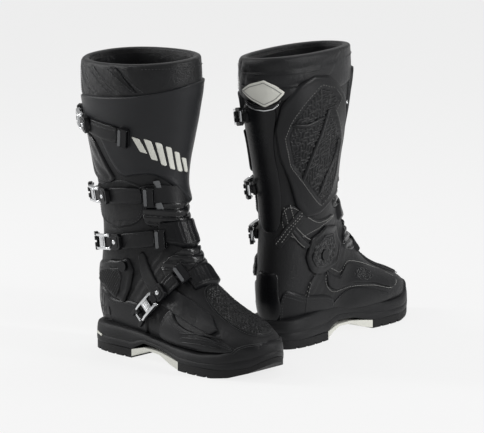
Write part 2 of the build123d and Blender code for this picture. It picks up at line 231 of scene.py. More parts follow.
LEATHER = material("black_leather", (0.0075, 0.0077, 0.0085), 0.44, grain=1000, deep=0.22, wrinkle=0.5,
                   sheen=0.05)
SMOOTH = material("smooth_leather", (0.006, 0.0062, 0.007), 0.32, grain=1500, deep=0.10, wrinkle=0.3)
GLOSS = material("folded_leather", (0.0045, 0.0047, 0.0055), 0.2, grain=1200, deep=0.12, wrinkle=1.0,
                 coat=0.25)
PADDED = material("collar_leather", (0.0085, 0.0087, 0.0095), 0.38, grain=1300, deep=0.2, wrinkle=0.9,
                  sheen=0.06)
ARMOUR = material("satin_armour", (0.0125, 0.013, 0.0145), 0.38, grain=2200, deep=0.10, vary=0.12)
SHELL = material("moulded_shell", (0.0055, 0.0057, 0.0065), 0.26, grain=2000, deep=0.06, vary=0.15)
RUBBER = material("sole_rubber", (0.0085, 0.0087, 0.0095), 0.48, grain=1600, deep=0.16, vary=0.2)
TREAD = material("tread_rubber", (0.008, 0.008, 0.0085), 0.62, grain=1200, deep=0.3)
MAZE = material("labyrinth_rubber", (0.011, 0.0113, 0.012), 0.30, grain=1800, deep=0.12, vary=0.2)
PALE = material("pale_insert", (0.60, 0.60, 0.55), 0.5, grain=1500, deep=0.2, vary=0.06)
PRINT = material("pale_print", (0.62, 0.62, 0.57), 0.55, grain=2600, deep=0.25, vary=0.08)
GREY = material("grey_tab", (0.10, 0.103, 0.107), 0.36, grain=2000, deep=0.1, vary=0.15)
METAL = material("polished_lever", (0.66, 0.67, 0.68), 0.2, grain=600, deep=0.04, metallic=1.0, vary=0.1)
BLOCK = material("buckle_plastic", (0.0055, 0.0057, 0.0065), 0.3, grain=1800, deep=0.1, vary=0.2)
STRAP_MAT = material("strap_plastic", (0.0075, 0.0077, 0.0085), 0.36, grain=1600, deep=0.12, vary=0.2)
CLOTH = material("lining_cloth", (0.010, 0.010, 0.011), 0.85, grain=900, deep=0.1, pattern=weave_height,
                 scale=260, pattern_deep=0.8, sheen=0.4)
THREAD = material("black_thread", (0.045, 0.046, 0.048), 0.45, grain=3000, deep=0.3)
PALE_THREAD = material("grey_thread", (0.30, 0.30, 0.29), 0.55, grain=3000, deep=0.3)


def quads(rings, sides, start=0, closed=False, flip=False):
    """The quads between rings of points that follow one another."""
    faces = []
    for k in range(rings if closed else rings - 1):
        here, there = start + k * sides, start + (k + 1) % rings * sides
        for j in range(sides):
            n = (j + 1) % sides
            quad = (here + j, here + n, there + n, there + j)
            faces.append((quad[0], *quad[:0:-1]) if flip else quad)
    return faces


def face_out(made):
    mesh = bmesh.new()
    mesh.from_mesh(made.data)
    bmesh.ops.recalc_face_normals(mesh, faces=mesh.faces)
    mesh.to_mesh(made.data)
    mesh.free()


def hump(x, at, wide):
    """1 where x is at the given place, falling away smoothly on both sides."""
    return np.exp(-(((x - at) / wide) ** 2))


def signed_area(outline):
    """Twice a closed outline's area, positive when it runs anticlockwise."""
    on = np.roll(outline, -1, axis=0)
    return (outline[:, 0] * on[:, 1] - on[:, 0] * outline[:, 1]).sum()


class Boot:
    """One boot's frame, read from where its ankle hinge is in the CAD."""

    def __init__(self, side):
        self.side, self.short = side, side[0].upper()
        joint = next(j for j in frame["joints"] if j["name"] == f"{side}_ankle_flex")
        across = Vector(joint["axis"])
        self.mirror = 1 if side == "right" else -1
        self.turn = Matrix.Rotation(math.atan2(-across.x, across.y), 3, "Z")
        self.heel = Vector(joint["pos_m"]) - self.turn @ Vector(PIVOT) * MM
        self.foot, self.leg = f"{side}_foot", f"{side}_shaft"

    def place(self, points):
        points = np.asarray(points, float) * (1, self.mirror, 1) * MM
        return points @ np.array(self.turn).T + np.array(self.heel)

    def mesh(self, name, points, faces, mat, body, uv=None, sharp=0, smooth=0, replaces=(), through=False):
        """A mesh object riding on a body, or standing free in world space with through=True."""
        data = bpy.data.meshes.new(f"{self.short}_{name}")
        if self.mirror < 0:
            faces = [tuple(reversed(f)) for f in faces]
        data.from_pydata([tuple(p) for p in self.place(points)], [], faces)
        if uv is not None:
            layer = data.uv_layers.new(name="UV")
            corners = np.empty(len(data.loops), dtype=np.int32)
            data.loops.foreach_get("vertex_index", corners)
            layer.data.foreach_set("uv", (np.asarray(uv)[corners] * MM).ravel())
        data.materials.append(mat)
        data.shade_smooth()
        if sharp:
            data.set_sharp_from_angle(angle=math.radians(sharp))
        made = bpy.data.objects.new(f"{self.short}_{name}", data)
        bpy.context.scene.collection.objects.link(made)
        if smooth:
            made.modifiers.new("smooth", "SUBSURF").levels = smooth
            made.modifiers["smooth"].render_levels = smooth
        if through:
            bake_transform(made)
        else:
            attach(made, body)
        if replaces:
            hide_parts(*[f"{self.side}_{n}" for n in replaces])
        return made


def rounded(points, times):
    """A closed outline with its corners cut, twice for a gentle curve."""
    for _ in range(times):
        following = np.roll(points, -1, axis=0)
        points = np.stack([points * 0.75 + following * 0.25, points * 0.25 + following * 0.75],
                          1).reshape(-1, 2)
    return points


def spaced(points, gap, closed=True):
    """The line through the points, with a point about every gap."""
    if closed:
        points = np.vstack([points, points[:1]])
    steps = np.linalg.norm(np.diff(points, axis=0), axis=1)
    run = np.concatenate([[0], np.cumsum(steps)])
    count = max(4 if closed else 2, round(run[-1] / gap))
    at = np.linspace(0, run[-1], count, endpoint=False) if closed else np.linspace(0, run[-1], count + 1)
    return np.stack([np.interp(at, run, points[:, k]) for k in range(2)], -1)


def distance(points, outline):
    """How far each point is from a closed outline, positive inside it."""
    a, b = outline, np.roll(outline, -1, axis=0)
    ab = b - a
    rel = points[:, None] - a[None]
    t = np.clip((rel * ab).sum(-1) / np.maximum((ab * ab).sum(-1), 1e-9), 0, 1)
    away = np.linalg.norm(rel - t[..., None] * ab, axis=-1).min(1)
    crossing = (a[:, 1] > points[:, None, 1]) != (b[:, 1] > points[:, None, 1])
    with np.errstate(divide="ignore", invalid="ignore"):
        at = a[:, 0] + (points[:, None, 1] - a[:, 1]) * ab[:, 0] / ab[:, 1]
    inside = (crossing & (points[:, None, 0] < at)).sum(1) % 2 == 1
    return np.where(inside, away, -away)


def outline_of(places, corner=2, gap=2.4, crisp=False):
    """A patch's outline. A crisp one keeps its straight edges, with only the corners rounded."""
    points = flat(places)
    if crisp:
        following = np.roll(points, -1, axis=0)
        points = np.stack([points, points * 0.78 + following * 0.22, points * 0.22 + following * 0.78], 1)
        points = points.reshape(-1, 2)
    return spaced(rounded(points, corner), gap)


def inward(outline, by):
    """The outline moved inwards."""
    along = np.roll(outline, -1, axis=0) - np.roll(outline, 1, axis=0)
    along /= np.maximum(np.linalg.norm(along, axis=1, keepdims=True), 1e-9)
    normal = np.stack([-along[:, 1], along[:, 0]], -1) * (1 if signed_area(outline) > 0 else -1)
    return outline + normal * by


def patch(boot, name, places, high, mat, body, base=-0.6, edge=1.6, step=4.0, relief=None, under=None,
          corner=2, crisp=False, **more):
    """A moulded or sewn panel on the boot: a height over an outline, rounded down at its edge."""
    rim = outline_of(places, corner, crisp=crisp)
    if signed_area(rim) < 0:
        rim = rim[::-1]
    inner = []
    for share in (0.08, 0.3, 0.62, 1.0, 1.5):
        ring = inward(rim, share * edge)
        inner.append(ring[distance(ring, rim) > share * edge * 0.9])
    low, far = rim.min(0), rim.max(0)
    xs, ys = np.meshgrid(np.arange(low[0], far[0], step), np.arange(low[1], far[1], step * 0.87))
    xs = xs + (np.arange(len(xs)) % 2)[:, None] * step / 2
    grid = np.stack([xs.ravel(), ys.ravel()], -1)
    inner.append(grid[distance(grid, rim) > edge * 1.5 + step * 0.35])
    points = np.vstack([rim, *inner])
    border = list(range(len(rim)))
    result = geometry.delaunay_2d_cdt([Vector(p) for p in points], [], [border], 1, 1e-4)
    spots = np.array([tuple(v) for v in result[0]])
    faces = [tuple(f) for f in result[2]]
    depth = np.maximum(distance(spots, rim), 0)
    depth[depth < 0.02] = 0
    profile = np.sqrt(1 - (1 - np.clip(depth / edge, 0, 1)) ** 2)
    off = base + (high - base) * profile
    if relief:
        off = off + relief(spots[:, 0], spots[:, 1], depth) * np.clip(depth / edge, 0, 1)
    u, a = unflat(spots)
    top = shell(u, a, off)
    uv = spots
    if under is not None:
        twin = {k: k if depth[k] == 0 else len(spots) + k for k in range(len(spots))}
        top = np.vstack([top, shell(u, a, under)])
        uv = np.vstack([spots, spots])
        faces = faces + [tuple(twin[k] for k in reversed(f)) for f in faces]
    return boot.mesh(name, top, faces, mat, body, uv=uv, **more)


def labyrinth(x, y, depth, cell=4.3, high=1.8):
    """Raised walls in a labyrinth: each square cell holds one of two quarter-turned diagonals."""
    s, t = (x + y) / cell / math.sqrt(2), (y - x) / cell / math.sqrt(2)
    i, j = np.floor(s), np.floor(t)
    pick = np.modf(np.abs(np.sin(i * 12.9898 + j * 78.233) * 43758.5453))[0] > 0.5
    f, g = s - i, t - j
    away = np.where(pick, np.abs(f - g), np.abs(f + g - 1)) * cell / math.sqrt(2)
    return high * np.clip((1.3 - away) / 0.5, 0, 1) * np.clip((depth - 1.4) / 0.8, 0, 1) - high


def bead(boot, name, lines, radius, off, mat, body, closed=False, gap=2.5, **more):
    """Raised piping along lines on the boot; the collar's dark groove beads drawn with it are painted shade.
    """
    points, faces, sides = [], [], 8
    for places in lines:
        path = spaced(flat(places), gap, closed)
        u, a = unflat(path)
        centre, above = shell(u, a, off), shell(u, a, off + 1)
        along = np.roll(centre, -1, 0) - np.roll(centre, 1, 0)
        if not closed:
            along[0], along[-1] = centre[1] - centre[0], centre[-1] - centre[-2]
        along /= np.linalg.norm(along, axis=1, keepdims=True) + 1e-9
        out = above - centre
        out /= np.linalg.norm(out, axis=1, keepdims=True) + 1e-9
        side = np.cross(along, out)
        start, count = len(points), len(centre)
        taper = np.ones(count)
        if not closed:
            ends = np.minimum(np.arange(count), np.arange(count)[::-1])
            taper = np.clip((ends + 0.35) / 1.6, 0.25, 1)
        for k in range(count):
            for j in range(sides):
                t = 2 * math.pi * j / sides
                points.append(centre[k] + radius * taper[k] * (out[k] * math.cos(t) + side[k] * math.sin(t)))
        faces += quads(count, sides, start, closed, flip=True)
        if not closed:
            faces.append(tuple(start + j for j in range(sides)))
            faces.append(tuple(start + (count - 1) * sides + j for j in reversed(range(sides))))
    return boot.mesh(name, points, faces, mat, body, **more)


def stitches(boot, name, lines, off, mat, body, long=2.1, pitch=3.1, thick=0.5, **more):
    """Rows of single stitches along lines given flat, each one a small rounded lozenge."""
    points, faces = [], []
    for path in lines:
        path = spaced(path, pitch, closed=False)
        u, a = unflat(path)
        centre, above = shell(u, a, off), shell(u, a, off + 1)
        ahead = np.roll(centre, -1, 0) - centre
        ahead[-1] = ahead[-2]
        for c, out, along in zip(centre, above - centre, ahead):
            along = along / (np.linalg.norm(along) + 1e-9)
            out = out / (np.linalg.norm(out) + 1e-9)
            side = np.cross(along, out)
            start = len(points)
            for share, wide in ((-0.5, 0.35), (-0.28, 1.0), (0.28, 1.0), (0.5, 0.35)):
                for j in range(6):
                    t = math.pi * j / 3
                    points.append(c + along * share * long + thick * wide
                                  * (out * math.cos(t) + side * math.sin(t)))
            faces += quads(4, 6, start, flip=True)
            faces.append(tuple(start + j for j in range(6)))
            faces.append(tuple(start + 18 + j for j in reversed(range(6))))
    return boot.mesh(name, points, faces, mat, body, **more)


def along_edge(places, inset, first=0.0, last=1.0):
    """Part of an outline, moved inwards, as a line for stitches."""
    rim = inward(outline_of(places, gap=1.5), inset)
    count = len(rim)
    return np.array([rim[k % count] for k in range(round(first * count), round(last * count) + 1)])


# ---------------------------------------------------------------- solids in a buckle's own frame
PIN_UP = 9.6


class Seat:
    """A flat frame on the outer side: x runs back along the strap, z stands out of the boot."""

    def __init__(self, place, heading):
        (u, a), = outer(place)
        p = shell([u, u + 0.05, u - 0.05, u, u], [a, a, a, a + 3, a - 3])
        self.origin = np.array([place[0], p[0][1], place[1]])
        normal = np.cross(p[1] - p[2], p[3] - p[4])
        normal /= np.linalg.norm(normal)
        if normal[1] > 0:
            normal = -normal
        level = (heading[0] * normal[0] + heading[1] * normal[2]) / -normal[1]
        x = np.array([heading[0], level, heading[1]], float)
        self.x, self.z = x / np.linalg.norm(x), normal
        self.y = np.cross(self.z, self.x)

    def __call__(self, points):
        points = np.asarray(points, float)
        return self.origin + points[:, :1] * self.x + points[:, 1:2] * self.y + points[:, 2:] * self.z


def prism(profile, y0, y1):
    """A profile in x and z, run across from y0 to y1."""
    count = len(profile)
    points = [(x, y0, z) for x, z in profile] + [(x, y1, z) for x, z in profile]
    faces = [tuple(range(count)), tuple(reversed(range(count, 2 * count)))]
    for k in range(count):
        n = (k + 1) % count
        faces.append((n, k, count + k, count + n))
    return points, faces


def slab(x0, x1, y0, y1, z0, z1, cut=0.0):
    """A box whose corners in plan can be cut off."""
    c = cut or 0.01
    plan = [(x0 + c, y0), (x1 - c, y0), (x1, y0 + c), (x1, y1 - c), (x1 - c, y1), (x0 + c, y1), (x0, y1 - c),
            (x0, y0 + c)]
    points = [(x, y, z0) for x, y in plan] + [(x, y, z1) for x, y in plan]
    faces = [tuple(reversed(range(8))), tuple(range(8, 16))]
    faces += [(k, (k + 1) % 8, 8 + (k + 1) % 8, 8 + k) for k in range(8)]
    return points, faces


def rod(x, z, radius, y0, y1, sides=20):
    turn = [2 * math.pi * k / sides for k in range(sides)]
    return prism([(x + radius * math.cos(t), z + radius * math.sin(t)) for t in turn], y0, y1)


def stud(x, y, radius, z0, z1, sides=24):
    """A domed round head."""
    points = []
    for share, z in ((1, z0), (1, z0 + (z1 - z0) * 0.5), (0.86, z1 - (z1 - z0) * 0.12), (0.5, z1)):
        points += [(x + radius * share * math.cos(2 * math.pi * k / sides),
                    y + radius * share * math.sin(2 * math.pi * k / sides), z) for k in range(sides)]
    faces = [*quads(4, sides), tuple(reversed(range(sides))), tuple(range(3 * sides, 4 * sides))]
    return points, faces


def bent(points, radius, start=3.0, level=PIN_UP):
    """Points curved down past a start, as the boot curves away under them."""
    out = []
    for x, y, z in points:
        turn = max(0.0, x - start) / radius
        reach = radius + z - level
        out.append((min(x, start) + reach * math.sin(turn), y, level + reach * math.cos(turn) - radius)
                   if turn else (x, y, z))
    return out


def build(boot, name, seat, shapes, mat, body, bevel=0.5, curve=0, **more):
    """Several solids in a seat's frame, as one piece."""
    points, faces = [], []
    for shape_points, shape_faces in shapes:
        faces += [tuple(len(points) + k for k in f) for f in shape_faces]
        points += bent(shape_points, curve) if curve else list(shape_points)
    made = boot.mesh(name, seat(np.asarray(points)), faces, mat, body, sharp=35, **more)
    face_out(made)
    if bevel:
        modifier = made.modifiers.new("edges", "BEVEL")
        modifier.width, modifier.segments, modifier.angle_limit = bevel * MM, 2, math.radians(35)
    return made


# ---------------------------------------------------------------- leather body, collar and lining
RIM = {"outer": 16.72, "inner": 16.93}


def rim_station(a):
    a = np.radians(a)
    return (RIM["outer"] + RIM["inner"]) / 2 + (RIM["inner"] - RIM["outer"]) / 2 * np.sin(a)


def tube(boot, name, rows, mat, body, turns=120, wave=None, **more):
    """A closed ring swept round the boot. rows give (station, offset) for an array of angles."""
    angles = np.linspace(-180, 180, turns, endpoint=False)
    points, uv = [], []
    for k, (station, off) in enumerate(rows):
        u = station(angles) if callable(station) else np.full(turns, float(station))
        lift = np.full(turns, float(off))
        if wave is not None:
            lift = lift + wave(k, u, angles)
        points.append(shell(u, angles, lift))
        uv.append(np.stack([np.radians(angles) * UNROLL, np.interp(u, U_TABLE, ARC)], -1))
    points, uv = np.concatenate(points), np.concatenate(uv)
    return boot.mesh(name, points, quads(len(rows), turns), mat, body, uv=uv, **more)


def upper_skin(boot):
    """The leather from the toe to the collar, bending at the ankle."""
    rows = [(u, -0.2) for u in np.arange(0.05, 16.3, 0.1)]

    def crease(k, u, a):
        near = hump(u, 8.8, 1.2)
        return -0.9 * near * (0.5 + 0.5 * np.sin(u * 16 + 0.8
                                                 * np.sin(np.radians(2 * a)))) * (np.abs(a) > 50)

    tube(boot, "upper", rows, LEATHER, None, wave=crease, through=True,
         replaces=("foot_upper", "ankle_gusset", "shaft_upper"))


def lining(boot):
    """The inner boot, seen from the top."""
    rows = [(lambda a: rim_station(a) - 0.05, -9.6)]
    rows += [(u, -8.4) for u in np.arange(16.4, 0.9, -0.15)]
    made = tube(boot, "lining", rows, CLOTH, None, turns=90, through=True, replaces=("lining",))
    made.data.flip_normals()


def collar(boot):
    """The padded top: a fat roll with slanting sewn ribs outside and level bands behind."""
    rows = [(15.95, 0.2), (15.97, 1.4), (16.02, 2.4)]
    rows += [((lambda t: lambda a: 16.02 + (rim_station(a) - 16.02) * t)(t),
              2.6 + 0.5 * math.sin(t * math.pi)) for t in np.linspace(0.08, 0.93, 22)]
    rows += [(lambda a: rim_station(a) - 0.008, 1.4), (lambda a: rim_station(a) + 0.006, -0.8),
             (lambda a: rim_station(a) + 0.01, -3.6), (lambda a: rim_station(a) + 0.002, -6.4),
             (lambda a: rim_station(a) - 0.03, -8.6), (lambda a: rim_station(a) - 0.12, -9.6),
             (lambda a: rim_station(a) - 0.4, -9.4), (16.2, -8.4)]

    def sewn(k, u, a):
        share = (u - 16.0) / (rim_station(a) - 16.0)
        on = np.clip(share * 8, 0, 1) * np.clip((1 - share) * 8, 0, 1) * (k < 26)
        slant = (a + 105) + share * 30
        outside = np.clip((a + 168) / 8, 0, 1) * np.clip((-62 - a) / 6, 0, 1)
        ribs = np.abs(np.sin(math.pi * slant / 23)) ** 0.4
        behind = np.clip((58 + 26 * share - np.abs(((a + 360) % 360) - 160)) / 3, 0, 1)
        bands = np.abs(np.sin(math.pi * share * 3)) ** 0.4
        soft = 0.35 * np.sin(np.radians(a * 5 + 40)) * np.sin(share * 3)
        return on * (outside * (ribs * 4.0 - 3.0) + (1 - outside) * (behind * (bands * 3.8 - 2.8) + soft))

    made = tube(boot, "collar", rows, PADDED, boot.leg, turns=216, wave=sewn, smooth=1, replaces=("collar",))
    lines = []
    for rib in range(-1, 3):
        for shift in (-4.5, 4.5):
            lines.append(flat([(16.06 + 0.6 * t, -105 + 23 * rib + shift - 30 * t)
                               for t in np.linspace(0.06, 0.9, 12)]))
    top = flat([(16.62, a) for a in range(-56, 100, 6)])
    stitches(boot, "collar_stitches", lines, 4.2, THREAD, boot.leg)
    stitches(boot, "collar_rim_stitches", [top], 3.3, THREAD, boot.leg)
    # dark beads in the slanting rib grooves, darker than the collar leather: painted shade standing in for
    # the grooves' deep shadow
    ribs = [[(16.06 + 0.66 * t, -105 + 23 * rib - 30 * t) for t in np.linspace(0.04, 0.92, 12)]
            for rib in range(-1, 3)]
    bead(boot, "collar_rib_groove_shade", ribs, 0.9, 1.6, GLOSS, boot.leg)
    # dark beads in the two level grooves behind, darker than the collar leather: painted shade standing in
    # for the grooves' shadow
    grooves = [[(16.02 + share * 0.78, a) for a in range(round(108 - 20 * share), 212, 6)]
               for share in (0.3, 0.62)]
    bead(boot, "collar_band_groove_shade", grooves, 0.8, 3.4, SMOOTH, boot.leg)
    bead(boot, "collar_front_piping", [[(16.05 + 0.62 * t, -62 - 22 * t) for t in np.linspace(0, 1, 9)]],
         0.9, 3.2, SMOOTH, boot.leg)


# ---------------------------------------------------------------- sole
SOLE_PLAN = [
    (0, 0), (11, -32), (42, -44), (105, -46), (162, -51), (218, -59), (268, -52), (302, -29),
    (317, 2), (300, 34), (262, 54), (215, 55), (160, 45), (100, 42), (42, 42), (11, 31),
]  # fmt: skip

# the rand's lower and upper lines: places along the sole, and the height at each
RAND_BOTTOM = ([0, 92, 104, 116, 150, 190, 252, 276, 300, 317], [12, 12, 19, 24, 22, 12, 12, 13, 18, 30])
RAND_TOP_OUTER = ([0, 60, 110, 175, 230, 262, 280, 300, 317], [39, 39, 37, 30, 29, 33, 39, 46, 50])
RAND_TOP_INNER = ([0, 75, 120, 180, 230, 262, 280, 300, 317], [39, 45, 45, 39, 33, 33, 38, 45, 50])
# the rand's section: share of the way up, and how far out from the plan
RAND_SECTION = ((0, -6.0), (0, -0.2), (0.05, 0.5), (0.2, 0.7), (0.36, 0.5), (0.40, -0.5), (0.44, 0.4),
                (0.6, 0.3), (0.8, -0.3), (0.93, -1.2), (0.99, -2.4), (1.02, -4.2), (1.05, -9.0),
                (1.12, -16.0))


def smooth_plan(count=260):
    """The sole's plan as a smooth closed line."""
    p = np.array(SOLE_PLAN, float)
    n = len(p)
    out = []
    for t in np.linspace(0, n, count, endpoint=False):
        i, f = int(t), t % 1
        out.append(eased(*(p[(i + k) % n] for k in (-1, 0, 1, 2)), f))
    return np.array(out)


def rand(boot):
    """The moulded rubber cup over the tread, with a feather line and a lip against the leather."""
    plan = smooth_plan()
    x = plan[:, 0]
    bottom = np.interp(x, *RAND_BOTTOM)
    top = np.where(plan[:, 1] < 0, np.interp(x, *RAND_TOP_OUTER), np.interp(x, *RAND_TOP_INNER))
    nearby = np.roll(plan, -1, 0) - np.roll(plan, 1, 0)
    normal = np.stack([nearby[:, 1], -nearby[:, 0]], -1)
    normal /= np.linalg.norm(normal, axis=1, keepdims=True)
    if (normal * (plan - plan.mean(0))).sum() < 0:
        normal = -normal
    rows = []
    for share, out in RAND_SECTION:
        rows.append(np.column_stack([plan + normal * out, bottom + (top - bottom) * share]))
    points = np.concatenate(rows)
    faces = quads(len(rows), len(plan))
    run = np.concatenate([[0], np.cumsum(np.linalg.norm(np.diff(plan, axis=0), axis=1))])
    uv = np.concatenate([np.column_stack([run, row[:, 2]]) for row in rows])
    made = boot.mesh("rand", points, faces, RUBBER, boot.foot, uv=uv, replaces=("rand",))
    face_out(made)


# ---------------------------------------------------------------- armour and panels
SHIN = leg(
    (357, -152), (360, -120), (362, -90), (367, -60), (378, -20), (383, 0), (384, 30), (385, 52), (350, 57),
    (300, 52), (262, 49), (236, 46), (214, 34), (208, 24), (216, 12), (232, -4), (244, -18), (253, -34),
    (258, -50), (255, -70), (250, -86), (262, -93), (285, -101), (306, -107), (314, -122), (316, -152),
)
CHIN = flat(leg((212, 26)))[0]
TOP_ARC = float(flat(leg((384, 0)))[0][1])
LEAF = leg(
    (306, -152), (302, -120), (282, -110), (262, -101), (246, -93), (238, -104), (240, -125), (252, -150),
)
REAR = leg(
    (346, 152), (348, 180), (344, 210), (318, 210), (280, 206), (240, 206), (200, 204), (168, 200),
    (160, 180), (168, 160), (200, 156), (240, 158), (290, 164),
)
GUARD = leg(
    (386, 112), (383, 94), (352, 72), (300, 58), (283, 54), (235, 48), (206, 60), (184, 98), (185, 122),
    (205, 137), (238, 146), (272, 157), (311, 160), (345, 151), (374, 130),
)
INSET = leg(
    (368, 104), (362, 92), (346, 82), (330, 90), (316, 84), (284, 69), (240, 68), (212, 80), (201, 94),
    (236, 122), (262, 139), (300, 144), (322, 136), (348, 120),
)
BADGE = leg((381, 169), (373, 188), (363, 203), (352, 186), (343, 169), (352, 154), (364, 144), (373, 155))
LOWER_LEG = leg(
    (246, -98), (246, -76), (240, -60), (225, -52), (205, -56), (186, -70), (178, -92), (180, -118),
    (190, -145), (215, -152), (236, -140),
)
INNER_LOW = leg(
    (180, 62), (176, 80), (178, 96), (190, 116), (206, 138), (200, 156), (176, 160), (160, 150), (152, 128),
    (160, 108), (166, 84), (172, 60),
)
X_UP = leg((198, 143), (209, 155), (180, 146), (158, 122), (144, 104), (138, 116), (160, 136), (186, 160))
X_DOWN = leg((142, 158), (152, 170), (176, 150), (206, 122), (196, 108), (168, 136))


def leg_armour(boot):
    body = boot.leg

    def shin_form(x, y, depth):
        crown = 0.9 * hump(x, -14, 16)
        lip = 0.9 * hump(depth, 3.2, 1.3) + 1.9 * np.clip((y - TOP_ARC + 34) / 30, 0, 1)
        lip = lip + 4.6 * np.exp(-(((y - CHIN[1]) / 30) ** 2) - ((x - CHIN[0]) / 34) ** 2)
        sweep = -0.5 * hump((y - 360) * 0.5 + x, -70, 2.0) * (x < -52)
        return crown + lip + sweep

    patch(boot, "shin_plate", SHIN, 3.3, ARMOUR, body, base=0.2, edge=2.6, relief=shin_form,
          replaces=("shin_plate",))

    def leaf_form(x, y, depth):
        inside = np.clip((depth - 3.5) / 1.2, 0, 1)
        return inside * (1.1 * np.abs(np.sin((y * 0.8 + x) / 5.2)) - 1.9)

    patch(boot, "calf_leaf", LEAF, 2.6, SHELL, body, base=-0.6, edge=1.8, step=2.0, relief=leaf_form)
    patch(boot, "rear_panel", REAR, 1.6, SHELL, body, base=-0.6, edge=3.0)
    bead(boot, "rear_lip_edge", [leg((347, 153), (341, 159), (338, 170), (339, 184), (345, 196))], 1.0, 3.0,
         METAL, body)
    bead(boot, "rear_lip", [leg((352, 150), (345, 158), (342, 170), (343, 184), (349, 198))], 2.6, 1.6,
         GLOSS, body)
    inset = outline_of(INSET, crisp=True)

    def guard_form(x, y, depth):
        spots = np.stack([x, y], -1)
        return -2.3 * np.clip(distance(spots, inset) / 1.4 + 0.5, 0, 1) + 0.8 * hump(depth, 4, 1.6)

    patch(boot, "calf_guard", GUARD, 5.4, SMOOTH, body, base=0.2, edge=4.5, step=2.2, crisp=True,
          relief=guard_form, replaces=("burn_guard",))
    patch(boot, "calf_guard_grip", INSET, 4.4, MAZE, body, base=1.2, edge=1.0, step=0.85, relief=labyrinth,
          crisp=True)
    bars = [leg((336, 95), (300, 104), (262, 118), (236, 127)),
            leg((290, 74), (262, 80), (234, 92), (214, 101)), leg((318, 140), (316, 120), (326, 98))]
    bead(boot, "calf_guard_bars", bars, 3.2, 3.4, SMOOTH, body)
    stitches(boot, "calf_guard_stitches", [inward(outline_of(INSET, gap=1.5, crisp=True), -2.4)], 5.2,
             PALE_THREAD, body,
             pitch=3.2, thick=FINE_THREAD)

    patch(boot, "badge", BADGE, 5.6, PRINT, body, base=2.4, edge=1.4, corner=1, crisp=True)
    bead(boot, "badge_line", [[(u, a) for u, a in zip(*unflat(inward(outline_of(BADGE, 1, crisp=True),
                                                                     3.2)))]], 0.4, 5.7, GREY, body,
         closed=True)
    patch(boot, "lower_leg", LOWER_LEG, 1.5, LEATHER, body, relief=lambda x, y, d: -0.8 * hump(d, 5, 1))
    stitches(boot, "lower_leg_stitches", [along_edge(LOWER_LEG, 2.2), along_edge(LOWER_LEG, 7.2, 0.1, 0.5)],
             1.7, THREAD, body)
    for k, places in enumerate((X_UP, X_DOWN)):
        patch(boot, f"crossed_band_{k + 1}", places, 3.0 + 0.6 * k, LEATHER, body, crisp=True)
        middle = flat(leg(*(((202, 148), (172, 140), (148, 114)), ((152, 160), (172, 144), (198, 118)))[k]))
        rows = [middle + (-4.2, 0), middle + (4.2, 0)]
        stitches(boot, f"crossed_band_{k + 1}_stitches", rows, 3.1 + 0.6 * k, PALE_THREAD, body)
    patch(boot, "inner_low", INNER_LOW, 1.6, LEATHER, body)
    stitches(boot, "inner_low_stitches", [along_edge(INNER_LOW, 2.4)], 1.8, PALE_THREAD, body,
             thick=FINE_THREAD)

    # generic slanting bars on the shin plate
    for k in range(6):
        z, a, tall = 298 - 6.4 * k, -60 + 13.5 * k, (12, 16, 18, 18, 16, 12)[k]
        bar = leg((z + tall, a - 9), (z + tall - 3, a), (z - tall, a + 9), (z - tall + 3, a))
        patch(boot, f"stripe_{k + 1}", bar, 4.9, PRINT, body, base=2.8, edge=0.5, step=3.0, crisp=True,
              corner=1)
    (u, a), = leg((338, 66))
    c, out = shell(u, a, 3.6), shell(u, a, 4.6) - shell(u, a, 3.6)
    rivet(boot, "shin_rivet", c, out, 3.0, METAL, body)


def rivet(boot, name, centre, out, radius, mat, body, high=1.3):
    """A domed rivet."""
    out = out / np.linalg.norm(out)
    side = np.cross(out, (0, 0, 1.0))
    side /= np.linalg.norm(side)
    other = np.cross(out, side)
    sides, points = 24, []
    rows = [(1, 0), (1, high * 0.45), (0.84, high * 0.85), (0.55, high), (0.3, high * 1.08),
            (0.05, high * 1.1)]
    for r, h in rows:
        for k in range(sides):
            t = 2 * math.pi * k / sides
            points.append(centre + radius * r * (side * math.cos(t) + other * math.sin(t)) + out * h)
    faces = [*quads(len(rows), sides), tuple(range((len(rows) - 1) * sides, len(rows) * sides))]
    made = boot.mesh(name, points, faces, mat, body, sharp=35)
    face_out(made)


FRONT_FOLDS = leg(
    (214, -62), (216, -30), (216, 0), (216, 30), (214, 62), (184, 62), (182, 30), (182, 0), (182, -30),
    (184, -62),
)
INSTEP_FOLDS = [
    (8.35, -64), (8.05, -30), (7.95, 0), (8.05, 30), (8.3, 62), (7.4, 64), (6.5, 46), (6.15, 0), (6.5, -44),
    (7.3, -64),
]
HEEL_OUTER = [
    (10.55, -176), (10.5, -150), (10.2, -134), (9.8, -122), (9.2, -112), (8.7, -101), (8.1, -97),
    (7.5, -100), (7.1, -112), (6.9, -140), (8.0, -168), (9.4, -178),
]
HEEL_INNER = [
    (10.3, 150), (10.0, 134), (9.4, 118), (8.8, 108), (8.0, 106), (7.4, 112), (7.2, 140), (8.2, 168),
    (9.6, 160),
]
HEEL_BACK = [
    (10.9, 158), (10.96, 180), (10.9, 204), (10.3, 206), (9.7, 210), (9.35, 196), (9.3, 180), (9.35, 164),
    (9.7, 152), (10.3, 156),
]
WING = outer(
    (122, 92), (140, 108), (166, 104), (200, 92), (232, 78), (252, 62), (244, 56), (216, 62), (180, 72),
    (150, 80), (132, 82),
)
OUTER_LOW = outer(
    (146, 34), (148, 56), (158, 76), (170, 80), (176, 68), (198, 58), (236, 54), (262, 50), (286, 42),
    (272, 36), (210, 32),
)
INNER_QUARTER = outer(
    (92, 100), (104, 92), (122, 86), (142, 102), (160, 99), (200, 87), (236, 76), (262, 60), (246, 50),
    (200, 64), (150, 72), (112, 68), (94, 76), side=1,
)
INNER_LOW_FOOT = outer(
    (96, 42), (114, 58), (144, 68), (184, 62), (218, 50), (240, 42), (232, 36), (180, 34), (124, 38),
    side=1,
)
INNER_GRIP = outer((150, 84), (168, 96), (196, 86), (204, 72), (180, 68), (154, 74), side=1)
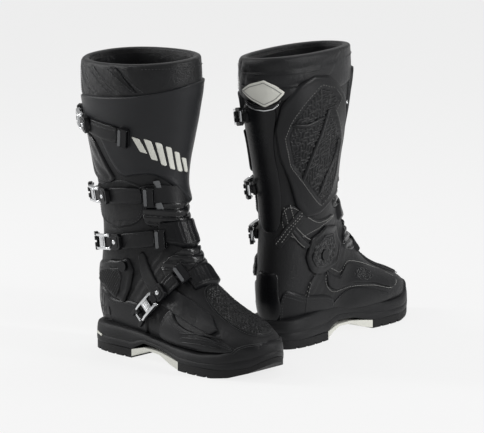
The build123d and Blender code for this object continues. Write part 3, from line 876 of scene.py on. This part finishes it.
TOE_PAD = [
    (5.5, -26), (5.65, 0), (5.5, 26), (4.4, 34), (3.0, 38), (2.1, 32), (1.7, 0), (2.1, -32), (3.0, -38),
    (4.4, -34),
]
TOE_CAP = [
    (2.7, -125), (2.5, -98), (2.0, -70), (1.5, -48), (1.2, -20), (1.15, 0), (1.2, 20), (1.5, 48), (2.0, 70),
    (2.5, 98), (2.7, 125), (1.2, 150), (0.5, 120), (0.35, 0), (0.5, -120), (1.2, -150),
]


def folds(pitch, high):
    """Rounded folds that run level across the boot."""

    def form(x, y, depth):
        level = shell(*unflat(np.stack([x, y], -1)))[:, 2] + 1.6 * np.cos(x / 17)
        return high * np.abs(np.sin(math.pi * level / pitch)) ** 0.6 - high * 0.4

    return form


SLOT_A = (-138 * UNROLL * math.pi / 180, float(np.interp(9.55, U_TABLE, ARC)))
SLOT_B = (-136 * UNROLL * math.pi / 180, float(np.interp(8.95, U_TABLE, ARC)))
SLOT_SLANT = 0.9  # radians
NOTCH_TOP, NOTCH_HALF = ARC[470], 9  # the heel counter's notch, up to station 9.4
FINE_THREAD = 0.42


def foot_panels(boot):
    body = boot.foot
    patch(boot, "front_folds", FRONT_FOLDS, 1.6, GLOSS, boot.leg, step=2.0, relief=folds(10.5, 4.4),
          edge=2.5)
    patch(boot, "instep_folds", INSTEP_FOLDS, 1.4, GLOSS, None, step=2.0, relief=folds(10.0, 4.2), edge=2.5,
          through=True)

    def slots(x, y, depth):
        """Raised outlines of two slanting slots on the heel."""
        out = np.zeros_like(x)
        for (cx, cy), half in ((SLOT_A, 15), (SLOT_B, 11)):
            s, c = math.sin(SLOT_SLANT), math.cos(SLOT_SLANT)
            dx, dy = (x - cx) * c + (y - cy) * s, -(x - cx) * s + (y - cy) * c
            away = np.hypot(np.maximum(np.abs(dx) - half, 0), dy)
            out += 0.8 * hump(away, 4.2, 0.8)
        return out

    patch(boot, "heel_outer", HEEL_OUTER, 1.9, SMOOTH, body, edge=2.2, step=1.8, relief=slots)
    patch(boot, "heel_inner", HEEL_INNER, 1.7, SMOOTH, body, edge=2.2)
    patch(boot, "heel_back", HEEL_BACK, 3.2, SHELL, body, base=0.2, edge=2.2, step=2.0,
          replaces=("heel_cup",), relief=lambda x, y, d: -2.0 * (np.abs(x - UNROLL * math.pi) < NOTCH_HALF)
          * np.clip((NOTCH_TOP - y) / 3, 0, 1))
    patch(boot, "wing", WING, 3.6, SMOOTH, body, edge=1.8, crisp=True)
    patch(boot, "outer_low", OUTER_LOW, 2.0, SMOOTH, body, edge=1.6)
    patch(boot, "inner_quarter", INNER_QUARTER, 2.0, SMOOTH, body, edge=1.4, crisp=True)
    patch(boot, "inner_quarter_grip", INNER_GRIP, 2.9, MAZE, body, edge=1.0, step=1.0, relief=labyrinth)
    patch(boot, "inner_low_foot", INNER_LOW_FOOT, 1.4, SMOOTH, body, edge=1.6)
    patch(boot, "toe_pad", TOE_PAD, 3.2, MAZE, body, base=-0.4, edge=1.8, step=1.0, relief=labyrinth,
          replaces=("toe_pad",))
    patch(boot, "toe_cap", TOE_CAP, 1.3, SMOOTH, body, edge=2.0)
    ribs = [outer(*[(x, z + 3 * math.sin((x - 190) / 28)) for x in range(192, 270, 9)])
            for z in (40, 46, 52)]
    bead(boot, "outer_ribs", ribs, 1.1, 2.2, SMOOTH, body)
    bead(boot, "heel_marks", [[(9.75, -146), (9.2, -122), (8.95, -126), (9.5, -150)],
                              [(9.3, -150), (8.8, -130), (8.55, -134), (9.05, -154)]], 0.8, 2.0, SMOOTH,
         body, closed=True)
    seam = outer((66, 102), (54, 92), (48, 76), (46, 58), (47, 42), side=1)
    bead(boot, "heel_seam", [seam], 1.2, 1.2, LEATHER, body)
    stitches(boot, "heel_seam_stitches", [flat(seam) + (-3, 0), flat(seam) + (3, 0)], 0.9, PALE_THREAD, body,
             thick=FINE_THREAD)
    rows = [along_edge(HEEL_OUTER, 3.0, 0.12, 0.62), along_edge(OUTER_LOW, 2.2),
            along_edge(OUTER_LOW, 4.6, 0, 0.55), along_edge(WING, 2.2), along_edge(TOE_PAD, -2.4),
            along_edge(HEEL_INNER, 2.4), along_edge(HEEL_INNER, 5.0), along_edge(TOE_CAP, 2.0, 0.03, 0.55),
            along_edge(TOE_CAP, 4.6, 0.03, 0.55)]
    stitches(boot, "foot_stitches", rows, 1.75, THREAD, body)
    stitches(boot, "pale_foot_stitches", [along_edge(INNER_LOW_FOOT, 1.8, 0.0, 0.6),
                                          along_edge(INNER_QUARTER, -2.0)], 0.9, PALE_THREAD, body,
             thick=FINE_THREAD)


ANKLE_OUTER = outer(
    (12, 112), (20, 126), (50, 133), (84, 138), (92, 122), (86, 96), (74, 74), (62, 78), (34, 94), (16, 98),
)
ANKLE_INNER = outer(
    (40, 128), (50, 154), (84, 166), (118, 160), (129, 134), (114, 106), (80, 98), (52, 106), side=1,
)


def heel_bar(boot):
    """A small pale bar on the outer side of the heel."""
    start, ahead = np.array([16.0, -36.2, 24.0]), np.array([0.92, -0.36, -0.14])
    out = np.array([-0.36, -0.93, 0.0])
    up = np.cross(out, ahead)
    shape = [slab(0, 17, -1.7, 1.7, 0.0, 1.6, 1.2)]
    build(boot, "heel_bar", lambda p: start + p[:, :1] * ahead + p[:, 1:2] * up + p[:, 2:] * out,
          shape, PRINT, boot.foot, bevel=0.3)


def ankle_pads(boot):
    for name, places in (("outer_ankle_pad", ANKLE_OUTER), ("inner_ankle_pad", ANKLE_INNER)):
        patch(boot, name, places, 4.0, SMOOTH, boot.leg, base=0.6, edge=2.6, step=2.4, crisp=True,
              relief=lambda x, y, d: -1.1 * hump(d, 6.2, 1.0),
              replaces=("ankle_plates",) if name.startswith("outer") else ())
        rim = flat(places)
        grip = list(zip(*unflat(rim.mean(0) + (rim - rim.mean(0)) * 0.66)))
        ribbed = lambda x, y, d: 1.3 * np.clip(np.sin((y - x * 0.35) * 1.5), 0, 1) ** 0.5 - 1.3
        maze = lambda x, y, d: labyrinth(x, y, d, 4.4, 1.2)
        patch(boot, name + "_grip", grip, 5.8, MAZE, boot.leg, base=3.6, edge=1.0, step=0.9, crisp=True,
              relief=ribbed if name.startswith("outer") else maze)


# ---------------------------------------------------------------- buckles and straps
# the pin and the strap's front end in the side view, and the radius that the lever curves round
BUCKLES = {
    1: {"pin": (12, 321), "front": (84, 310), "curve": 62},
    2: {"pin": (38, 222), "front": (108, 226), "curve": 62},
    3: {"pin": (56, 158), "front": (124, 167), "curve": 62},
    4: {"pin": (137, 88), "front": (164, 118), "curve": 160},
}
STRAP_GAP, STRAP, STRAP_HALF = 5.4, 2.4, 11.0
CATCH_AHEAD, KEEPER_BEHIND = 22.0, 2.2 + 7.5


def buckle(boot, number):
    pin, front = (np.array(BUCKLES[number][k], float) for k in ("pin", "front"))
    heading = pin - front
    long = np.linalg.norm(heading)
    unit = heading / long
    across = np.array([-unit[1], unit[0]])
    seat = Seat(tuple(pin), tuple(heading))
    strap_body, lever_body = f"{boot.side}_strap_{number}", f"{boot.side}_lever_{number}"
    fixed = boot.foot if number == 4 else boot.leg

    near = pin - unit * 20  # the strap's rear end, under the end block
    corners = [front + across * STRAP_HALF, near + across * STRAP_HALF, near - across * STRAP_HALF,
               front - across * STRAP_HALF]
    edges = []
    for a, b in zip(corners, corners[1:] + corners[:1]):
        edges += [a + (b - a) * t for t in np.linspace(0, 1, 5)[:-1]]
    strap_line = outer(*[tuple(p) for p in edges])
    centre = flat(outer(tuple(front), tuple(near)))
    run = centre[1] - centre[0]
    run /= np.linalg.norm(run)

    def teeth(x, y, depth):
        s = (x - centre[0][0]) * run[0] + (y - centre[0][1]) * run[1]
        t = (x - centre[0][0]) * run[1] - (y - centre[0][1]) * run[0]
        ribs = 0.5 * (np.abs(t) < 5.5) * np.abs(np.sin(math.pi * s / 2.6)) * (s > 3) * (s < 40)
        return ribs - 0.5 * hump(np.abs(t), 7.2, 0.6)

    patch(boot, f"strap_{number}", strap_line, STRAP_GAP + STRAP, STRAP_MAT, strap_body, base=STRAP_GAP,
          edge=1.2, step=1.4, relief=teeth, under=STRAP_GAP, corner=1, replaces=(f"strap_{number}",))

    # the end block, its rivet and its pin
    block = [slab(-24, -5, -11, 11, 5.8, 11.6, 3.5), slab(-7, 3.4, -6.4, 6.4, 5.8, 12.2, 1.0),
             slab(-20, -8, -7.5, 7.5, 11.6, 12.3, 2.0)]
    build(boot, f"block_{number}", seat, block, BLOCK, strap_body, bevel=0.8,
          replaces=(f"strap_end_{number}",))
    build(boot, f"pin_{number}", seat, [rod(0, PIN_UP, 1.6, -11.4, 11.4), stud(-14, 0, 3.2, 12.2, 13.9)],
          METAL, strap_body, bevel=0.2)

    curve = BUCKLES[number]["curve"]
    # the lever: two curved arms, a serrated bridge and black rollers at the finger end
    arm = [(-3.6, 9.0), (-2.6, 12.0), (0.5, 13.4), (6, 13.2), (14, 13.6), (24, 14.6), (33, 14.0), (40, 11.6),
           (43, 8.6), (42.4, 6.6), (39, 7.2), (34, 9.4), (26, 10.0), (16, 8.4), (8, 6.6), (2, 6.0),
           (-2.2, 6.8)]
    arms = [prism(arm, y, y + 3.4) for y in (-10.8, 7.4)]
    bridge = prism([(8, 7.4), (8, 11.8), (12, 12.6), (16, 12.9), (20, 12.9), (20, 10.2), (14, 8.2)], -8, 8)
    ribs = [prism([(x, 12.4), (x + 1.1, 13.6), (x + 2.2, 12.4)], -6.5, 6.5) for x in (9.5, 12.5, 15.5)]
    build(boot, f"lever_{number}", seat, [*arms, bridge, *ribs, rod(39.6, 9.8, 2.0, -8, 8)], METAL,
          lever_body, bevel=0.7, curve=curve, replaces=(f"lever_{number}",))
    rollers = [rod(31, 12.0, 3.9, -7.2, -1.6), rod(31, 12.0, 3.9, 1.6, 7.2), rod(31, 12.0, 1.4, -8, 8)]
    tips = [slab(33, 45, y, y + 5.2, 9.2, 14.6, 1.5) for y in (-12.6, 7.4)]
    build(boot, f"rollers_{number}", seat, rollers + tips, BLOCK, lever_body, bevel=0.5, curve=curve)

    # the catch plate under the lever
    catch = Seat(tuple(pin + unit * CATCH_AHEAD), tuple(heading))
    teeth_plate = [slab(-12, 11, -7.5, 7.5, 0.2, 4.4, 2.0)]
    teeth_plate += [prism([(x, 4.2), (x + 2.6, 6.3), (x + 3.2, 4.2)], -5.2, 5.2)
                    for x in (-9, -5.4, -1.8, 1.8, 5.4)]
    build(boot, f"catch_{number}", catch, teeth_plate, BLOCK, fixed, bevel=0.5)

    # the keeper that the strap's tail runs into, with a grey finger tab
    keeper = Seat(tuple(front - unit * KEEPER_BEHIND), tuple(heading))
    frame_shapes = [slab(-7.5, 7.5, -13.4, 13.4, 0.5, 5.2, 3.0),
                    slab(-7.5, 7.5, -13.4, -10.9, 5.0, 10.6, 0.8),
                    slab(-7.5, 7.5, 10.9, 13.4, 5.0, 10.6, 0.8),
                    slab(-6.5, 2.0, -13.2, 13.2, 9.0, 11.0, 1.5)]
    build(boot, f"keeper_{number}", keeper, frame_shapes, BLOCK, fixed, bevel=0.6,
          replaces=("calf_mounts",) if number == 1 else ("foot_mounts",) if number == 4 else ())
    build(boot, f"keeper_tab_{number}", keeper, [slab(2.4, 6.9, -11.6, 11.6, 8.6, 11.2, 1.2)], GREY, fixed,
          bevel=0.5)


FRONT_STRAP = leg(
    (240, -68), (243, -40), (238, -10), (233, 20), (230, 52), (206, 52), (209, 20), (213, -10), (215, -40),
    (214, -68),
)
ADJUSTER = leg(
    (187, -44), (190, -20), (191, 0), (190, 20), (187, 40), (163, 44), (158, 20), (157, 0), (158, -20),
    (161, -44),
)
INSTEP_ADJUSTER = [
    (6.72, -40), (6.82, -12), (6.82, 14), (6.68, 36), (5.95, 38), (5.7, 14), (5.7, -10), (5.85, -38),
]
ARM_BAND = outer((98, 146), (110, 150), (120, 128), (134, 110), (150, 100), (142, 86), (118, 98), (104, 118))


def fixed_trim(boot):
    """Pieces round the front that the straps pull against."""
    ridge = lambda x, y, d: 0.6 * np.abs(np.sin(x / 2.1)) * (d > 4) - 0.5 * hump(d, 3.4, 0.7)
    patch(boot, "front_strap", FRONT_STRAP, 4.4, STRAP_MAT, boot.leg, base=-0.4, edge=1.6, step=2.4,
          relief=lambda x, y, d: -0.6 * hump(d, 3.2, 0.7))
    patch(boot, "adjuster", ADJUSTER, 7.0, BLOCK, boot.leg, base=-0.4, edge=2.2, step=1.6, relief=ridge,
          crisp=True)
    patch(boot, "instep_adjuster", INSTEP_ADJUSTER, 6.4, BLOCK, boot.foot, base=-0.4, edge=2.2, step=1.6,
          relief=ridge, crisp=True)
    patch(boot, "ankle_arm", ARM_BAND, 2.2, LEATHER, None, edge=1.6, through=True)
    tabs = (leg((247, -46), (248, -36), (237, -33), (237, -41)),
            leg((216, -44), (217, -34), (208, -31), (208, -41)))
    for k, places in enumerate(tabs):
        patch(boot, f"grey_tab_{k + 1}", places, 6.0, GREY, boot.leg, base=1.5, edge=0.8, step=2, corner=1,
              crisp=True)


def cad_finishes(boot):
    """The CAD pieces that show as they are."""
    for name, mat in (("outsole", TREAD), ("arch_insert", PALE), ("shank", METAL), ("footbed", CLOTH),
                      ("ankle_bolts", BLOCK)):
        for place in frame["nodes"][f"{boot.side}_{name}"].material_slots:
            place.material = mat


def make_boot(side):
    boot = Boot(side)
    upper_skin(boot)
    lining(boot)
    collar(boot)
    rand(boot)
    leg_armour(boot)
    foot_panels(boot)
    ankle_pads(boot)
    heel_bar(boot)
    for number in BUCKLES:
        buckle(boot, number)
    fixed_trim(boot)
    cad_finishes(boot)


for side in ("right", "left"):
    make_boot(side)


# ---------------------------------------------------------------- floor, light and camera
AZIMUTH, ELEVATION, AWAY = 43, 11, 4.0
AIM, LAMP_AIM = Vector((0.0388, -0.1030, 0.1913)), Vector((0, 0, 0.2))
FOCAL, SENSOR = 217.0, 36
WORLD_LIGHT = 0.42

floor = bpy.data.objects.new("floor", bpy.data.meshes.new("floor"))
spokes, rings = 96, (0.6, 2.0, 6.0, 16.0)
verts = [(0, 0, 0)]
verts += [(r * math.cos(2 * math.pi * k / spokes), r * math.sin(2 * math.pi * k / spokes), 0)
          for r in rings for k in range(spokes)]
faces = [(0, 1 + k, 1 + (k + 1) % spokes) for k in range(spokes)]
faces += quads(len(rings), spokes, start=1, flip=True)
floor.data.from_pydata(verts, [], faces)
floor.data.shade_smooth()
floor.data.materials.append(material("pale_floor", (0.11, 0.11, 0.11), 0.9, grain=200, deep=0.0, vary=0.01,
                                     specular=0.0, glow=0.80))
bpy.context.scene.collection.objects.link(floor)

world = bpy.data.worlds.new("studio")
bpy.context.scene.world = world
world.use_nodes = True
world.node_tree.nodes["Background"].inputs[0].default_value = (1, 1, 1, 1)
world.node_tree.nodes["Background"].inputs[1].default_value = WORLD_LIGHT


def facing(azimuth, elevation):
    """The direction from the boots towards a lamp or the camera, given in degrees."""
    a, e = math.radians(azimuth), math.radians(elevation)
    return Vector((math.sin(a) * math.cos(e), -math.cos(a) * math.cos(e), math.sin(e)))


def light(name, azimuth, elevation, distance_m, size, power):
    data = bpy.data.lights.new(name, "AREA")
    data.shape, data.size, data.size_y, data.energy = "RECTANGLE", size[0], size[1], power
    lamp = bpy.data.objects.new(name, data)
    back = facing(azimuth, elevation)
    lamp.location = LAMP_AIM + back * distance_m
    lamp.rotation_euler = back.to_track_quat("Z", "Y").to_euler()
    bpy.context.scene.collection.objects.link(lamp)


light("key", 5, 50, 2.6, (0.5, 0.5), 4)
light("side", 106, 20, 2.2, (0.22, 1.6), 32)
light("rim", -58, 24, 2.2, (0.22, 1.6), 30)
light("top", 200, 68, 2.2, (1.4, 0.4), 12)

camera = bpy.data.objects.new("camera", bpy.data.cameras.new("camera"))
back = facing(AZIMUTH, ELEVATION)
camera.location = AIM + back * AWAY
camera.rotation_euler = back.to_track_quat("Z", "Y").to_euler()
camera.data.lens, camera.data.sensor_width = FOCAL, SENSOR
camera.data.clip_end = 50
bpy.context.scene.collection.objects.link(camera)
bpy.context.scene.camera = camera
bpy.context.scene.view_settings.view_transform = "Standard"
